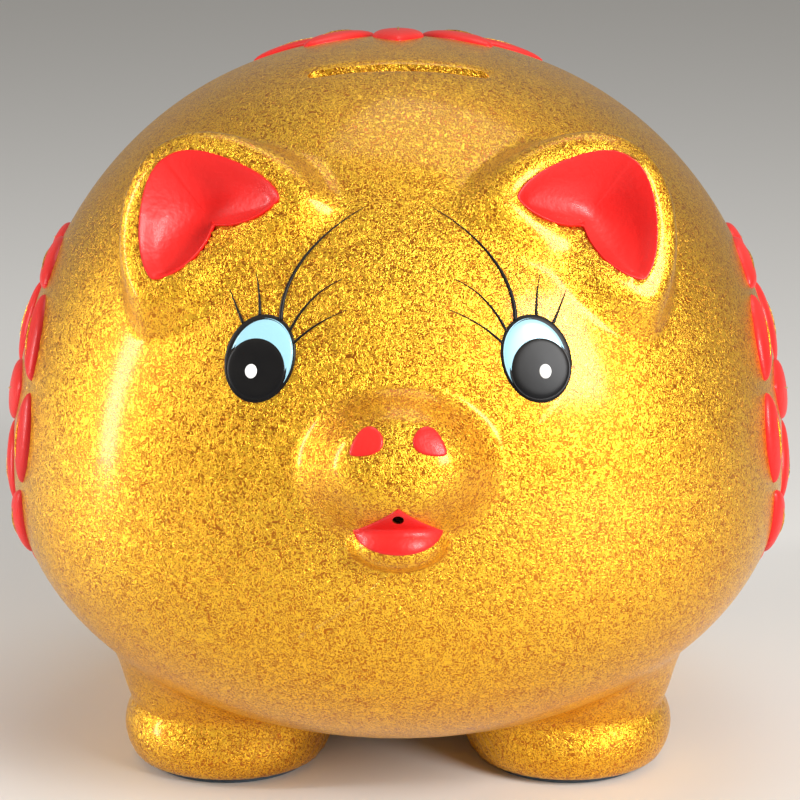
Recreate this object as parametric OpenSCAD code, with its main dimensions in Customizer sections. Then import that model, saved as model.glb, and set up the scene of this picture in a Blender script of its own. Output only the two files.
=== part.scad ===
// Pig coin bank: one hollow slip-cast shell on four stub feet, with a coin slot
// across the back, a rubber stopper in the belly and raised enamelled ornament.
// The pig faces -Y, so its own left side is +X. Z = 0 is the surface that it stands on.

/* [Body] */
// Width of the body at its widest
body_w = 178; // [160:1:215]
// From the widest ring forward to the forehead
body_front = 87; // [75:1:105]
// From the widest ring back to the rump
body_rear = 108; // [92:1:130]
// Height of the back above the widest ring
back_h = 96; // [84:1:116]
// Depth of the belly below the widest ring
belly_h = 57.5; // [52:0.5:70]
// Thickness of the cast wall
wall = 5; // [4:0.5:7]

/* [Snout and mouth] */
// Upward tilt of the snout in degrees
snout_el = 13.5; // [8:0.5:18]
// How far the flat of the snout stands out from the forehead
snout_out = 15; // [10:1:20]
// Half width of the snout
snout_w = 21; // [17:0.5:25]
// Half height of the snout
snout_h = 16.5; // [13:0.5:20]
// Half width of the lower lip
lip_w = 11; // [8:0.5:14]
// Diameter of the vent hole in the mouth
vent_d = 2.4; // [1.5:0.1:4]

/* [Ears] */
// Bearing of each ear from straight ahead in degrees
ear_az = 34; // [30:0.5:40]
// Elevation of each ear in degrees
ear_el = 43.5; // [38:0.5:50]
// Height of the ear's outer rim above the head
ear_rise = 14.5; // [8:0.5:17.5]
// Width of the gold rim round the red lining
ear_rim = 3.5; // [1.5:0.5:4.5]

/* [Eyes] */
// Bearing of each eye from straight ahead in degrees
eye_az = 20.3; // [17:0.1:24]
// Elevation of each eye in degrees
eye_el = 26.8; // [24:0.1:30]
// Half width of the eye
eye_w = 7.6; // [6:0.1:9]
// Half height of the eye
eye_h = 9.4; // [7:0.1:11]

/* [Feet] */
// Height of the belly above the soles
leg_drop = 11; // [8:0.5:16]
// Distance of each foot from the centre line
foot_x = 39.5; // [35:0.5:46]
// Distance of the front feet ahead of the widest ring
front_foot_y = 16; // [10:1:24]
// Distance of the rear feet behind the widest ring
rear_foot_y = 46; // [42:1:52]
// Radius of a foot at its widest
foot_r = 24; // [20:0.5:29]
// Thickness of the foam pads
pad_t = 1.5; // [1:0.25:3]
// How far a pad's edge lies inside the sole
pad_inset = 2.5; // [1:0.5:5]

/* [Coin slot] */
// Length of the slot
slot_l = 40; // [30:1:48]
// Width of the slot
slot_w = 5; // [4.5:0.1:6]
// Distance of the slot ahead of the widest ring
slot_y = 22; // [14:1:28]

/* [Stopper] */
// Diameter of the hole in the belly
bore_d = 36; // [28:1:40]
// Radial clearance of the stopper's neck in the hole
bore_gap = 0.05; // [0.02:0.01:0.1]
// Width of the flange that seats round the hole
flange_lip = 4; // [3:0.5:5]
// Thickness of the flange
flange_t = 2.5; // [2:0.25:3]
// Radial gap round the flange in its recess
flange_gap = 0.5; // [0.4:0.1:1]
// Depth of the recess that the flange lies in
recess = 3.2; // [2.5:0.1:4]
// Length of the hole through the collar inside the belly
collar_l = 8; // [6:0.5:12]
// Distance of the stopper behind the widest ring
stopper_y = 12; // [4:1:20]

/* [Ornament] */
// Thickness of the flat enamel coats
enamel_t = 0.5; // [0.3:0.1:1]
// Height of the raised ornament
relief_t = 2; // [1:0.25:3]
// Radius of the ornament on each flank
medallion_r = 42; // [34:1:46]
// Elevation of the flank ornament in degrees
medallion_el = 9; // [4:1:14]
// Distance of the crown ornament behind the widest ring
crown_y = 27; // [22:1:34]
// Length of a crown petal
crown_l = 26; // [20:1:30]

/* [Hidden] */
$fn = 48;

gold = "goldenrod";
red = "crimson";

// Rounded corners of the trunk: 2 is an ellipse, more is boxier
upper_round = 2.14;
lower_round = 2.0;
brow_round = 2.35;
chest_round = 2.8;
rump_round = 2.1;

tail_el = 20;
tail_r = 7.5;            // radius of the curl where it starts
tail_tip_r = 3.6;        // the same at its tip
tail_wire = 3.2;         // half thickness of the tail where it starts
tail_tip = 1.2;
tail_turn = 324;
tail_lift = 1.2;         // height of the curl's middle above the rump

// Blend radii where one form grows out of another
snout_blend = 9;
face_blend = 5;
lip_blend = 2.5;

sole_z = -(belly_h + leg_drop);
foot_bulge = 7;          // height of a foot's widest ring above its sole
foot_h = 15.5;           // half height of the egg that the foot is part of
ankle_a = 20;            // how far up that egg the foot turns into the leg, in degrees
leg_r = foot_r + 2;      // radius of the leg's shoulder, where it enters the belly
leg_h = 34;              // half height of the leg's own egg
leg_z = sole_z + 30.5;   // middle of that egg
hollow_h = belly_h - 20; // height of the hollow inside a leg
leg_wall = wall + 2;     // a leg is thicker than the body
sink = 0.3;              // how far a coat is fused into the smooth skin under it
bond = 1;                // the same on the ears, snout and lip, where the skin turns sharply
paint_t = 0.2;           // thickness of one coat of the eyes
eye_line_t = 0.4;        // height of the eye's black outline
lash_t = 0.3;
pocket_h = 6;            // height to which the casting is cleared over an enamel coat
dome_h = 0.8;            // how much the ornament crowns between its edge and its middle
seat_gap = 0.05;         // between the stopper's flange and its seat
pad_r = foot_r * sqrt(1 - pow(foot_bulge / foot_h, 2)) - pad_inset;

// The snout is an egg cut off flat; it nods up a little, and the lip lies under it
snout_l = 30;
snout_nod = 3.5;
snout_set = 28;          // depth of the egg's middle behind the flat
flat_set = 1;            // how far the flat lies behind the egg's tip
lip_l = 11;
lip_h = 6.5;
lip_drop = 10.3;
lip_set = 18;
mouth_el = snout_el - 7.5;
vent_z = (body_front + snout_out - 5) * tan(mouth_el + 1.3);
vent_l = 60;

crown_drop = 0.97;       // the back has fallen this much where the crown ornament lies
crown_el = atan2(back_h * crown_drop, crown_y);
crown_hub = 10;          // distance of the petals' inner ends from the middle of their fan

bore_r = bore_d / 2;
flange_r = bore_r + flange_lip;
seat_z = -belly_h + recess;
collar_top = seat_z + collar_l;
collar_r = flange_r + 4;
cup_wall = 4;
lead = 1.5;              // chamfer that leads the stopper into its hole
web_t = 3;               // thickness of the stopper's closed end
bar_w = 5;
bar_h = 4;

MERIDIANS = 80;
RINGS = 54;
CAVITY_MERIDIANS = 32;
CAVITY_RINGS = 20;

// ---- directions and blends ----

function compass(az, el) = [cos(el) * sin(az), -cos(el) * cos(az), sin(el)];
function east(az) = [cos(az), sin(az), 0];
function north(az, el) = [-sin(el) * sin(az), sin(el) * cos(az), cos(el)];
function unit(v) = v / norm(v);
function bell(x) = exp(-x * x);
function ease(x, a, b) = let (t = min(max((x - a) / (b - a), 0), 1)) t * t * (3 - 2 * t);
function mix(a, b, t) = a + (b - a) * t;
function soft_max(a, b, k) = let (h = max(k - abs(a - b), 0) / k) max(a, b) + h * h * k / 4;
function soft_min(a, b, k) = -soft_max(-a, -b, k);

// ---- the pig as a radius in each direction from the middle of its widest ring ----

function trunk(u) =
    let (top = u.z >= 0, face = u.y < 0,
         p = top ? upper_round : lower_round,
         q = face ? mix(brow_round, chest_round, ease(-u.z, -0.2, 0.8)) : rump_round,
         ring = pow(abs(u.x) * 2 / body_w, p) + pow(abs(u.z) / (top ? back_h : belly_h), p))
    pow(pow(ring, q / p) + pow(abs(u.y) / (face ? body_front : body_rear), q), -1 / q);

// Far side of an ellipsoid with centre c and half sizes s, met by a ray along u
function egg(u, c, s) =
    let (a = [u.x / s.x, u.y / s.y, u.z / s.z], b = [c.x / s.x, c.y / s.y, c.z / s.z],
         d = pow(a * b, 2) - (a * a) * (b * b - 1))
    max(0, (a * b + sign(d) * sqrt(abs(d))) / (a * a));

function snout(u) =
    let (out = compass(0, snout_el + snout_nod), up = north(0, snout_el + snout_nod),
         c = compass(0, snout_el) * (body_front + snout_out - snout_set),
         e = egg([u.x, u * out, u * up], [0, c * out, c * up], [snout_w, snout_l, snout_h]))
    soft_min(e, (body_front + snout_out - flat_set) / max(u * out, 0.2), face_blend);

function lip(u) =
    egg(u, compass(0, snout_el - lip_drop) * (body_front + snout_out - lip_set), [lip_w, lip_l, lip_h]);

// Outline of an ear's lining: a lower and an inner tip, either side of a hollow edge
ear_turn = 216;          // the way that the hollow edge faces
lower_tip = 70;
inner_tip = 57;
function peak(x) = exp(-pow(abs(x), 1.3));
function ear_outline(turn) =
    let (t = turn - 360 * round(turn / 360))
    8 + 11 * peak((t - lower_tip) / 37) + 11.2 * peak((t + inner_tip) / 33) - 7.2 * bell(t / 54.5);
lining_bed = 1.2;        // the lining lies in a bed this deep
ear_root = 2.2;            // height of the rim over the hollow edge
ear_floor = 0.5;         // height of the ear's middle above the head
ear_slope = 10.5;        // how far the rim's outside runs down to the head

function ear(u) =
    let (c = compass(ear_az, ear_el), w = u * c, r = trunk(c),
         s = r * (u * east(ear_az)) / max(w, 0.5), t = r * (u * north(ear_az, ear_el)) / max(w, 0.5),
         turn = atan2(t, s) - ear_turn,
         edge = ear_outline(turn), d = norm([s, t]),
         high = mix(ear_root, ear_rise, (1 - cos(turn)) / 2))
    w < 0.5 ? 0
    : d < edge ? mix(ear_floor, high, pow(d / edge, 2.2)) - lining_bed * ease(edge - d, 0, 3)
    : high * (1 - ease(d - edge, ear_rim, ear_rim + ear_slope));

function skin(v) =
    let (u = [abs(v.x), v.y, v.z],
         face = soft_max(trunk(u), snout(u), snout_blend))
    soft_max(face, lip(u), lip_blend) + ear(u);

// ---- meshes ----

// Meridians crowd towards the ears, rings crowd towards the face
function fan(i, n) = let (t = 360 * i / n) t + 8 * sin(4 * t);
function ring(j, n) = let (t = j / n) 180 * (0.62 * t + 0.38 * pow(t, 3));
function ray(a, b) = [sin(b) * cos(a), -cos(b), sin(b) * sin(a)];

function globe_points(r, n, m) = [
    ray(0, 0) * r(ray(0, 0)),
    for (j = [1 : m - 1], i = [0 : n - 1]) let (u = ray(fan(i, n), ring(j, m))) u * r(u),
    ray(0, 180) * r(ray(0, 180))];

function globe_faces(n, m) = let (last = 1 + (m - 1) * n) [
    for (i = [0 : n - 1]) [0, 1 + (i + 1) % n, 1 + i],
    for (j = [0 : m - 3], i = [0 : n - 1])
        let (a = 1 + j * n, k = (i + 1) % n)
        each [[a + i, a + k, a + n + k], [a + i, a + n + k, a + n + i]],
    for (i = [0 : n - 1]) let (a = 1 + (m - 2) * n) [last, a + i, a + (i + 1) % n]];

skin_points = globe_points(function(u) skin(u), MERIDIANS, RINGS);
ys = [for (p = skin_points) p.y];

// Middle of the widest ring, so that the bounding box is centred on X = 0, Y = 0
centre = [0, -(min(ys) + max(ys)) / 2, belly_h + leg_drop + pad_t];

// A point on the skin, given in millimetres east and north of a bearing
function on_skin(az, el, s, t, lift) =
    let (c = compass(az, el), u = unit(c * trunk(c) + east(az) * s + north(az, el) * t))
    u * (skin(u) + lift);

// A closed coat on the skin: rings of an outline shrink to its middle, domed from edge to middle
module coat(az, el, middle, outline, low, high, dome = 0, rings = 3) {
    m = len(outline);
    side = function(is_top) [
        for (k = [0 : rings]) for (i = [0 : (k == 0 ? 0 : m - 1)])
            let (f = k / rings, p = middle + (k == 0 ? [0, 0] : (outline[i] - middle) * f))
            on_skin(az, el, p.x, p.y, is_top ? high + dome * (1 - f * f) : low)];
    n = 1 + rings * m;
    at = function(k, i) k == 0 ? 0 : 1 + (k - 1) * m + i % m;
    faces = [
        for (i = [0 : m - 1]) each [[0, at(1, i + 1), at(1, i)], [n, n + at(1, i), n + at(1, i + 1)]],
        for (k = [1 : 1 : rings - 1], i = [0 : m - 1]) each [
            [at(k, i), at(k, i + 1), at(k + 1, i + 1)], [at(k, i), at(k + 1, i + 1), at(k + 1, i)],
            [n + at(k, i), n + at(k + 1, i + 1), n + at(k, i + 1)],
            [n + at(k, i), n + at(k + 1, i), n + at(k + 1, i + 1)]],
        for (i = [0 : m - 1]) each [
            [at(rings, i), at(rings, i + 1), n + at(rings, i + 1)],
            [at(rings, i), n + at(rings, i + 1), n + at(rings, i)]]];
    translate(centre) polyhedron(concat(side(true), side(false)), faces);
}

function turned(p, a) = [p.x * cos(a) - p.y * sin(a), p.x * sin(a) + p.y * cos(a)];
function oval(w, h, tilt = 0, at = [0, 0], n = 24) =
    [for (i = [0 : n - 1]) at + turned([w * cos(360 * i / n), h * sin(360 * i / n)], tilt)];
// A leaf with two pointed ends
function leaf(l, w, tilt, at, n = 16) =
    [for (i = [0 : n - 1]) let (a = 360 * i / n)
        at + turned([l * cos(a), w * sin(a) * (0.5 + 0.5 * abs(sin(a)))], tilt)];

// A brush stroke along a curve through three control points, tapered to its tip
module stroke(az, el, a, b, c, w, low, high, steps = 7) {
    end = 4 * steps;
    points = [for (k = [0 : steps]) let (
        t = k / steps,
        p = a * (1 - t) * (1 - t) + b * 2 * t * (1 - t) + c * t * t,
        d = unit((b - a) * (1 - t) + (c - b) * t),
        side = [-d.y, d.x] * mix(w, w / 4, t) / 2, left = p + side, right = p - side)
        each [on_skin(az, el, right.x, right.y, low), on_skin(az, el, left.x, left.y, low),
              on_skin(az, el, left.x, left.y, high), on_skin(az, el, right.x, right.y, high)]];
    faces = [
        [0, 1, 2], [0, 2, 3], [end, end + 2, end + 1], [end, end + 3, end + 2],
        for (k = [0 : steps - 1], i = [0 : 3]) let (p = 4 * k, j = (i + 1) % 4)
            each [[p + i, p + 4 + j, p + j], [p + i, p + 4 + i, p + 4 + j]]];
    translate(centre) polyhedron(points, faces);
}

// ---- sub-parts ----

// A curl that tapers to its tip, laid flat against the rump
module tail() {
    rings = 24;
    sides = 12;
    out = compass(180, tail_el);
    up = north(180, tail_el);
    side = [1, 0, 0];
    points = [for (k = [0 : rings], i = [0 : sides - 1]) let (
        t = k / rings, a = tail_turn * t - 90, b = 360 * i / sides,
        arm = side * cos(a) + up * sin(a), r = mix(tail_wire, tail_tip, t * t))
        out * (trunk(out) + tail_lift + r * sin(b)) + arm * (mix(tail_r, tail_tip_r, t) + r * cos(b))];
    faces = [
        [for (i = [sides - 1 : -1 : 0]) i],
        [for (i = [0 : sides - 1]) rings * sides + i],
        for (k = [0 : rings - 1], i = [0 : sides - 1]) let (a = k * sides, j = (i + 1) % sides)
            each [[a + i, a + j, a + sides + j], [a + i, a + sides + j, a + sides + i]]];
    color(gold) translate(centre) polyhedron(points, faces);
}

module each_foot() {
    for (x = [-foot_x, foot_x], y = [-front_foot_y, rear_foot_y]) translate([x, y, 0]) children();
}

// A stub foot that flares over its sole, under a leg that widens into the belly
module leg() {
    widest = sole_z + foot_bulge;
    sole_a = -asin(foot_bulge / foot_h);
    foot = [for (i = [0 : 8]) let (a = mix(sole_a, ankle_a, i / 8))
        [foot_r * cos(a), widest + foot_h * sin(a)]];
    neck_a = -acos(foot_r * cos(ankle_a) / leg_r);
    shoulder = [for (i = [0 : 9]) let (a = mix(neck_a, 90, i / 10)) [leg_r * cos(a), leg_z + leg_h * sin(a)]];
    rotate_extrude() polygon([[0, sole_z], each foot, each shoulder, [0, leg_z + leg_h]]);
}

module slot_cut() {
    slot_cut_l = 60;
    translate([0, -slot_y, back_h - slot_cut_l / 2]) {
        translate([(slot_w - slot_l) / 2, -slot_w / 2, 0]) cube([slot_l - slot_w, slot_w, slot_cut_l]);
        for (side = [-1, 1]) translate([side * (slot_l - slot_w) / 2, 0, 0]) cylinder(slot_cut_l, d = slot_w);
    }
}

module vent_cut() {
    translate([0, 25 - body_front, vent_z]) rotate([90, 0, 0]) cylinder(vent_l, d = vent_d);
}

module body_shell() {
    color(gold) difference() {
        casting();
        ear_coat(pocket_h);
        on_right() ear_coat(pocket_h);
        mouth_coat(pocket_h);
    }
}

module casting() {
    translate(centre) difference() {
        union() {
            polyhedron(skin_points, globe_faces(MERIDIANS, RINGS));
            each_foot() leg();
        }
        difference() {
            polyhedron(globe_points(function(u) trunk(u) - wall, CAVITY_MERIDIANS, CAVITY_RINGS),
                       globe_faces(CAVITY_MERIDIANS, CAVITY_RINGS));
            translate([0, stopper_y, -belly_h - 1]) cylinder(collar_top + belly_h + 1, r = collar_r);
        }
        each_foot() translate([0, 0, sole_z + wall]) cylinder(hollow_h, r = foot_r - leg_wall);
        translate([0, stopper_y, seat_z - 40]) cylinder(40, r = flange_r + flange_gap);
        translate([0, stopper_y, seat_z - 1]) cylinder(collar_l + 2, r = bore_r);
        slot_cut();
        vent_cut();
    }
}

// Soft rubber cup: a flange, a neck that fills the hole, and a bar to pull it by
module belly_stopper() {
    neck_r = bore_r - bore_gap;
    cup_r = neck_r - cup_wall;
    bottom = seat_z - seat_gap - flange_t;
    floor_z = collar_top + lead - web_t;
    color("dimgray") translate(centre + [0, stopper_y, 0]) {
        rotate_extrude() polygon([[0, floor_z], [cup_r, floor_z], [cup_r, bottom], [flange_r, bottom],
            [flange_r, bottom + flange_t], [neck_r, bottom + flange_t], [neck_r, collar_top],
            [neck_r - lead, collar_top + lead], [0, collar_top + lead]]);
        translate([-cup_r - bond, -bar_w / 2, bottom]) cube([2 * (cup_r + bond), bar_w, bar_h]);
    }
}

module foot_pad(y) {
    color("darkslategray") translate([foot_x, centre.y + y, 0]) cylinder(pad_t, r = pad_r);
}

// Enamel in the dish of an ear; raised by pocket_h it is also what the casting is cut back by
ear_edge = [for (a = [0 : 10 : 350]) ear_outline(a - ear_turn) * [cos(a), sin(a)]];
module ear_coat(high) { coat(ear_az, ear_el, [0, 0], ear_edge, -bond, high, lining_bed, rings = 4); }
module ear_lining() { color(red) ear_coat(enamel_t); }

// The eye is painted in four coats, each on top of the last
eye_tilt = 12;
eye_line = 0.7;          // width of the black outline
iris_at = [-0.2, -0.1];
pupil_at = [0.4, -2.2];
pupil_r = eye_w - eye_line - 0.3;
glint_at = pupil_at + [0.85, -0.7];
iris_t = eye_line_t + paint_t;
pupil_t = iris_t + paint_t;
glint_t = pupil_t + paint_t;
module eye_outline() {
    color("black") coat(eye_az, eye_el, [0, 0], oval(eye_w, eye_h, eye_tilt), -sink, eye_line_t);
}
module eye_iris() {
    outline = oval(eye_w - eye_line, eye_h - eye_line, eye_tilt, iris_at);
    color("lightblue") coat(eye_az, eye_el, iris_at, outline, eye_line_t, iris_t);
}
module eye_pupil() {
    color("black") coat(eye_az, eye_el, pupil_at, oval(pupil_r, pupil_r, 0, pupil_at), iris_t, pupil_t);
}
module eye_glint() {
    color("white") coat(eye_az, eye_el, glint_at, oval(1.4, 1.6, 0, glint_at, 12), pupil_t, glint_t, rings = 1);
}

// Each lash: where it leaves the eye, the point that bends it, its tip and its width
lashes = [
    [[4.6, 7.0], [6.9, 10.6], [8.7, 13.8], 0.7],
    [[1.2, 9.0], [1.8, 13.5], [3.6, 17.6], 0.7],
    [[-3.5, 8.2], [-1.5, 21], [-16.5, 37], 1],
    [[-5.6, 6.2], [-8.6, 15], [-15, 19], 0.7],
    [[-6.8, 3.9], [-10.6, 8.8], [-17, 12.5], 0.6]];
module lash_set() {
    color("black") for (l = lashes) stroke(eye_az, eye_el, l[0], l[1], l[2], l[3], -sink, lash_t);
}

module nostril() {
    at = [6, 4.9];
    drop = [for (i = [0 : 15]) let (a = 360 * i / 16)
        at + turned([3.4 * cos(a), 2.4 * sin(a) * (1 - 0.45 * cos(a))], -35)];
    color(red) coat(0, snout_el, at, drop, -bond, enamel_t, rings = 2);
}

// A notch under the snout above, a full lower lip below
lip_corner = -1.2;
lip_edge = [for (i = [0 : 31]) let (a = 360 * i / 32)
    [9.2 * cos(a), lip_corner + (sin(a) > 0 ? 5.7 * pow(1 - abs(cos(a)), 1.2) : 3.9 * sin(a))]];
module mouth_coat(high) { coat(0, mouth_el, [0, -1.5], lip_edge, -bond, high); }
module mouth_enamel() {
    color(red) difference() {
        mouth_coat(enamel_t);
        translate(centre) vent_cut();
    }
}

// One leaf or petal of the raised ornament
module petal(az, el, l, w, tilt, at) {
    coat(az, el, at, leaf(l, w, tilt, at, 12), -sink, relief_t - dome_h, dome_h, rings = 2);
}

// A boss, five petals round it and a ring of leaves
boss_r = 5;
petal_l = 10.5;          // half length of a petal and of a leaf
petal_w = 7;
leaf_w = 4.5;
blossom_r = 17;
wreath_r = medallion_r - leaf_w - 1;
module flank_relief() {
    color(red) {
        coat(90, medallion_el, [0, 0], oval(boss_r, boss_r, n = 12), -sink, relief_t - dome_h, dome_h, rings = 2);
        for (a = [90 : 72 : 378])
            petal(90, medallion_el, petal_l, petal_w, a, blossom_r * [cos(a), sin(a)]);
        for (a = [0 : 36 : 324])
            petal(90, medallion_el, petal_l, leaf_w, a + 90, wreath_r * [cos(a), sin(a)]);
    }
}

module crown_relief() {
    half = crown_l / 2;
    color(red) for (a = [18 : 36 : 162])
        petal(180, crown_el, half, 6, a, [0, -half] + (half + crown_hub) * [cos(a), sin(a)]);
}

module on_right() mirror([1, 0, 0]) children();

body_shell();
tail();
belly_stopper();
foot_pad(-front_foot_y);  // front_left_foot_pad
on_right() foot_pad(-front_foot_y);  // front_right_foot_pad
foot_pad(rear_foot_y);  // rear_left_foot_pad
on_right() foot_pad(rear_foot_y);  // rear_right_foot_pad
ear_lining();  // left_ear_lining
on_right() ear_lining();  // right_ear_lining
eye_outline();  // left_eye_outline
on_right() eye_outline();  // right_eye_outline
eye_iris();  // left_eye_iris
on_right() eye_iris();  // right_eye_iris
eye_pupil();  // left_eye_pupil
on_right() eye_pupil();  // right_eye_pupil
eye_glint();  // left_eye_glint
on_right() eye_glint();  // right_eye_glint
lash_set();  // left_lashes
on_right() lash_set();  // right_lashes
nostril();  // left_nostril
on_right() nostril();  // right_nostril
mouth_enamel();
flank_relief();  // left_flank_relief
on_right() flank_relief();  // right_flank_relief
crown_relief();
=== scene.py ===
"""Finished look of a ceramic pig coin bank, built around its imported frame.

Every length is in metres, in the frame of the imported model: the pig faces -Y,
its own left side is +X, and Z = 0 is the surface that it stands on.
"""

import math

import bpy
import numpy as np
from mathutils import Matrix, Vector


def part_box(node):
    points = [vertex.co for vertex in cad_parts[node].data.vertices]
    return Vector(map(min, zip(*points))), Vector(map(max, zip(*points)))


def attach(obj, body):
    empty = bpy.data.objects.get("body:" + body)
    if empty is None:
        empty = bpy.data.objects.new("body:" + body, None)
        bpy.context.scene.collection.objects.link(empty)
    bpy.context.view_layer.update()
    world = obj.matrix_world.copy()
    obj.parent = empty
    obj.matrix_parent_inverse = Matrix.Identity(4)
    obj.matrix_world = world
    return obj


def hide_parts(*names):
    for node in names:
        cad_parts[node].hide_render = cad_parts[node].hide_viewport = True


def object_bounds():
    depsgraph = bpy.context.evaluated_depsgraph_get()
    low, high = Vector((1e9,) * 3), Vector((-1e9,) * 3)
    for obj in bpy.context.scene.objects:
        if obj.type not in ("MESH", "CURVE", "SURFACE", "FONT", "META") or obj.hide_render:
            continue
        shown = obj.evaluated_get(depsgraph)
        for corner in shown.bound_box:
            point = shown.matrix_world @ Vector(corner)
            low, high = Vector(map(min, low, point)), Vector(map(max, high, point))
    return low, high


bl_info = {
    "name": "Pig Coin Bank",
    "version": (1, 0, 0),
    "blender": (4, 5, 0),
    "location": "View3D > Sidebar > Coin Bank",
    "description": "Builds a glazed ceramic pig coin bank piece by piece",
    "category": "Add Mesh",
}

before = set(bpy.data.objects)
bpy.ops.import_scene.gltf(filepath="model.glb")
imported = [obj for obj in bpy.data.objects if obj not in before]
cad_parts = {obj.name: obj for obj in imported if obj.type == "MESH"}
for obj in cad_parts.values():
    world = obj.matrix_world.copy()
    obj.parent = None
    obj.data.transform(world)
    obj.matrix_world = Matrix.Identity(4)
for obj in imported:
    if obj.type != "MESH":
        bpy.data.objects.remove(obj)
CAD_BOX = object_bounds()
MM = 0.001
SHELL_LOW, SHELL_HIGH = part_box("body_shell")
STOPPER_LOW, STOPPER_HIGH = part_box("belly_stopper")
PAD_LOW, PAD_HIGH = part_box("front_left_foot_pad")
REAR_PAD_LOW, REAR_PAD_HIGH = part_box("rear_left_foot_pad")
RUMP_REACH = 108 * MM
BELLY_DEPTH = 57.5 * MM
BELLY_LIFT = 11 * MM
TURN = 2 * math.pi
SIDES = (("left", 1), ("right", -1))


def length(name, description, default):
    """A length in metres that a user can change."""
    return bpy.props.FloatProperty(
        name=name, description=description, default=default, unit="LENGTH", precision=4)


def angle(name, description, degrees):
    """An angle that a user can change, given here in degrees."""
    return bpy.props.FloatProperty(
        name=name, description=description, default=math.radians(degrees), subtype="ANGLE")


def colour(name, description, default):
    """A colour that a user can change."""
    return bpy.props.FloatVectorProperty(
        name=name, description=description, default=default, subtype="COLOR", size=3, min=0, max=1)


class PigSizes(bpy.types.PropertyGroup):
    """Sizes of the casting and of what is fired onto it."""

    width: length("Width", "Width of the body at its widest", SHELL_HIGH.x - SHELL_LOW.x)
    front: length("Front", "From the widest ring forward to the forehead", 87 * MM)
    rear: length("Rear", "From the widest ring back to the rump", RUMP_REACH)
    back: length("Back", "Height of the back above the widest ring", 96 * MM)
    belly: length("Belly", "Depth of the belly below the widest ring", BELLY_DEPTH)
    legs: length("Legs", "Height of the belly above the soles", BELLY_LIFT)
    wall: length("Wall", "Thickness of the cast wall", 5 * MM)
    snout_out: length("Snout", "How far the snout stands out from the forehead", 15 * MM)
    ear_rise: length("Ear", "Height of the ear's outer rim above the head", 14.5 * MM)
    enamel: length("Enamel", "Thickness of the flat enamel coats", 0.5 * MM)
    relief: length("Relief", "Height of the raised ornament", 2 * MM)
    medallion: length("Medallion", "Radius of the ornament on each flank", 42 * MM)
    slot_length: length("Slot length", "Length of the coin slot", 40 * MM)
    slot_width: length("Slot width", "Width of the coin slot", 5 * MM)
    snout_el: angle("Snout tilt", "Upward tilt of the snout", 13.5)
    eye_az: angle("Eye bearing", "Bearing of each eye from straight ahead", 20.3)
    eye_el: angle("Eye elevation", "Elevation of each eye", 26.8)
    ear_az: angle("Ear bearing", "Bearing of each ear from straight ahead", 34)
    ear_el: angle("Ear elevation", "Elevation of each ear", 43.5)


class PigColours(bpy.types.PropertyGroup):
    """Colours of the glaze, the enamels and the soft parts."""

    flake: colour("Gold flake", "Bright flakes of the gold glaze", (1.0, 0.59, 0.030))
    ground: colour("Gold ground", "Brown ground between the flakes", (0.42, 0.115, 0.003))
    amber: colour("Amber", "Warm drift in the gold glaze", (0.95, 0.36, 0.008))
    rubbed: colour("Rubbed gold", "Edges of the glaze that hands have polished", (1.0, 0.70, 0.20))
    dust: colour("Dust", "Dust that has settled on upward faces", (0.45, 0.40, 0.33))
    red: colour("Red", "Red enamel", (0.84, 0.010, 0.008))
    black: colour("Black", "Black enamel", (0.004, 0.004, 0.005))
    blue: colour("Blue", "Pale blue enamel of the iris", (0.36, 0.68, 0.82))
    white: colour("White", "White enamel of the glint", (0.92, 0.92, 0.90))
    bisque: colour("Bisque", "Unglazed inside of the casting", (0.55, 0.46, 0.37))
    rubber: colour("Rubber", "Belly stopper", (0.022, 0.022, 0.024))
    foam: colour("Foam", "Foot pads", (0.045, 0.070, 0.095))


def sizes():
    """The sizes that this scene is built to."""
    return bpy.context.scene.pig_sizes


def colours():
    """The colours that this scene is painted in."""
    return bpy.context.scene.pig_colours


# ---- the pig as a radius in each direction from the middle of its widest ring ----

CENTRE = np.array([0.0, SHELL_HIGH.y - RUMP_REACH, SHELL_LOW.z + BELLY_DEPTH + BELLY_LIFT])
UPPER_ROUND, LOWER_ROUND = 2.14, 2.0
BROW_ROUND, CHEST_ROUND, RUMP_ROUND = 2.35, 2.8, 2.1
EAR_TURN = math.radians(216)
EAR_RIM = 3.5 * MM
EAR_SLOPE = 10.5 * MM
EAR_ROOT = 2.2 * MM
EAR_FLOOR = 0.5 * MM
LINING_BED = 1.2 * MM
LINING_STEP = 3 * MM
LEG = ((26 * MM, 26 * MM, 34 * MM), 30.5 * MM)
FOOT = ((24 * MM, 24 * MM, 15.5 * MM), 7 * MM)
SLOT_FORWARD = 22 * MM
VENT_RADIUS = 1.2 * MM


def compass(az, el):
    """The direction at a bearing from straight ahead and an elevation."""
    return np.array([np.cos(el) * np.sin(az), -np.cos(el) * np.cos(az), np.sin(el)])


def east(az):
    """The level direction to the side of a bearing."""
    return np.array([np.cos(az), np.sin(az), 0.0])


def north(az, el):
    """The direction up the skin from a bearing."""
    return np.array([-np.sin(el) * np.sin(az), np.sin(el) * np.cos(az), np.cos(el)])


def soft_max(a, b, k):
    """The larger of a and b, blended where they are within k."""
    h = np.maximum(k - np.abs(a - b), 0) / k
    return np.maximum(a, b) + h * h * k / 4


def soft_min(a, b, k):
    """The smaller of a and b, blended where they are within k."""
    return -soft_max(-a, -b, k)


def ease(x, a, b):
    """A smooth step from 0 at a to 1 at b."""
    t = np.clip((x - a) / (b - a), 0, 1)
    return t * t * (3 - 2 * t)


def bell(x):
    """A round-topped bump of height 1 about 0."""
    return np.exp(-x * x)


def peak(x):
    """A bump of height 1 about 0 that comes nearly to a point."""
    return np.exp(-np.abs(x) ** 1.3)


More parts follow.
